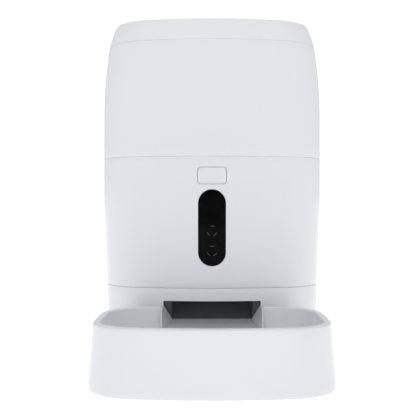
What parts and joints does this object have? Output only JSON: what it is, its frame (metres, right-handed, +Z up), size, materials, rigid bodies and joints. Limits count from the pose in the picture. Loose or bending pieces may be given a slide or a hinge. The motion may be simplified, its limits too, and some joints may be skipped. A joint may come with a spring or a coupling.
{
  "type": "automatic pet feeder",
  "caption": "Tall bowed-front dry food dispenser with hinged lid, lift-off hopper, camera window, feed button, metering rotor, chute and a pull-out bowl.",
  "frame": {"origin": "on the floor, at the middle of the footprint of the body and the bowl together", "axes": "+Z up, the front with the bowl faces -Y, +X to the right as seen from the front"},
  "size_m": [0.232, 0.3193, 0.349],
  "materials": {
    "white_plastic": "glossy injection-moulded white plastic",
    "inner_plastic": "satin off-white plastic",
    "grey_plastic": "fine-textured grey plastic",
    "black_gloss": "polished black window",
    "black_plastic": "satin black plastic",
    "dark_rubber": "soft dark rubber",
    "pale_silicone": "translucent pale silicone",
    "acetal": "waxy cream acetal",
    "steel": "bright plated steel",
    "brass": "turned brass",
    "circuit_board": "green solder-masked laminate"
  },
  "bodies": {
    "base": {"base_shell": "white_plastic", "main_housing": "white_plastic", "chute": "white_plastic", "metering_bowl": "inner_plastic", "outlet_baffle": "inner_plastic", "bottom_plate": "grey_plastic", "camera_window": "black_gloss", "camera_lens": "black_plastic", "infrared_lamp": "black_plastic", "feed_switch": "black_plastic", "power_inlet": "black_plastic", "speaker": "black_plastic", "gear_case": "black_plastic", "food_beam_emitter": "black_plastic", "food_beam_receiver": "black_plastic", "rubber_foot_1": "dark_rubber", "rubber_foot_2": "dark_rubber", "rubber_foot_3": "dark_rubber", "rubber_foot_4": "dark_rubber", "idler_axle": "steel", "gear_motor": "steel", "microphone": "steel", "battery_contact_front": "steel", "battery_contact_rear": "steel", "bottom_screw_1": "steel", "bottom_screw_2": "steel", "bottom_screw_3": "steel", "bottom_screw_4": "steel", "gear_case_screw_1": "steel", "gear_case_screw_2": "steel", "gear_case_screw_3": "steel", "lower_bush": "brass", "upper_bush": "brass", "front_board": "circuit_board", "main_board": "circuit_board"},
    "tank": {"hopper_tank": "white_plastic", "lid_hinge_pin": "steel"},
    "lid": {"lid_shell": "white_plastic", "lid_liner": "inner_plastic", "lid_seal": "pale_silicone", "desiccant_box": "inner_plastic"},
    "lid_lock": {"lid_lock_slider": "white_plastic", "lid_lock_bolt": "acetal"},
    "desiccant_cap": {"desiccant_cap": "inner_plastic"},
    "rotor": {"portion_rotor": "pale_silicone", "stirrer": "pale_silicone", "rotor_shaft": "steel", "drive_gear": "acetal"},
    "idler": {"idler_gear": "acetal"},
    "pinion": {"motor_pinion": "brass"},
    "feed_button": {"feed_button": "white_plastic"},
    "battery_door": {"battery_door": "grey_plastic"},
    "bowl": {"food_bowl": "white_plastic"}
  },
  "joints": [
    {"name": "tank_lift", "type": "slide", "parent": "base", "child": "tank", "axis": [0, 0, 1], "range_m": [0, 0.12]},
    {"name": "lid_hinge", "type": "hinge", "parent": "tank", "child": "lid", "pos_m": [0, 0.1507, 0.3253], "axis": [-1, 0, 0], "range_deg": [0, 90]},
    {"name": "lid_lock_slide", "type": "slide", "parent": "lid", "child": "lid_lock", "axis": [0, -1, 0], "range_m": [0, 0.0045]},
    {"name": "desiccant_twist", "type": "hinge", "parent": "lid", "child": "desiccant_cap", "pos_m": [0, 0.0767, 0.288], "axis": [0, 0, 1], "range_deg": [0, 45]},
    {"name": "rotor_spin", "type": "hinge", "parent": "base", "child": "rotor", "pos_m": [0, 0.0892, 0.15], "axis": [0, 0, 1], "continuous": true},
    {"name": "idler_spin", "type": "hinge", "parent": "base", "child": "idler", "pos_m": [0.01716, 0.10873, 0.129], "axis": [0, 0, 1], "continuous": true},
    {"name": "pinion_spin", "type": "hinge", "parent": "base", "child": "pinion", "pos_m": [0.03245, 0.11346, 0.129], "axis": [0, 0, 1], "continuous": true},
    {"name": "feed_button_press", "type": "slide", "parent": "base", "child": "feed_button", "axis": [0, 1, 0], "range_m": [0, 0.0008], "stiffness_N_per_m": 1500, "springref_m": -0.0005},
    {"name": "battery_door_slide", "type": "slide", "parent": "base", "child": "battery_door", "axis": [0, -1, 0], "range_m": [0, 0.009]},
    {"name": "bowl_slide", "type": "slide", "parent": "base", "child": "bowl", "axis": [0, -1, 0], "range_m": [0, 0.09]}
  ],
  "couplings": [
    {"joint": "idler_spin", "follows": "rotor_spin", "ratio": -1.6},
    {"joint": "pinion_spin", "follows": "rotor_spin", "ratio": 2.6667}
  ]
}
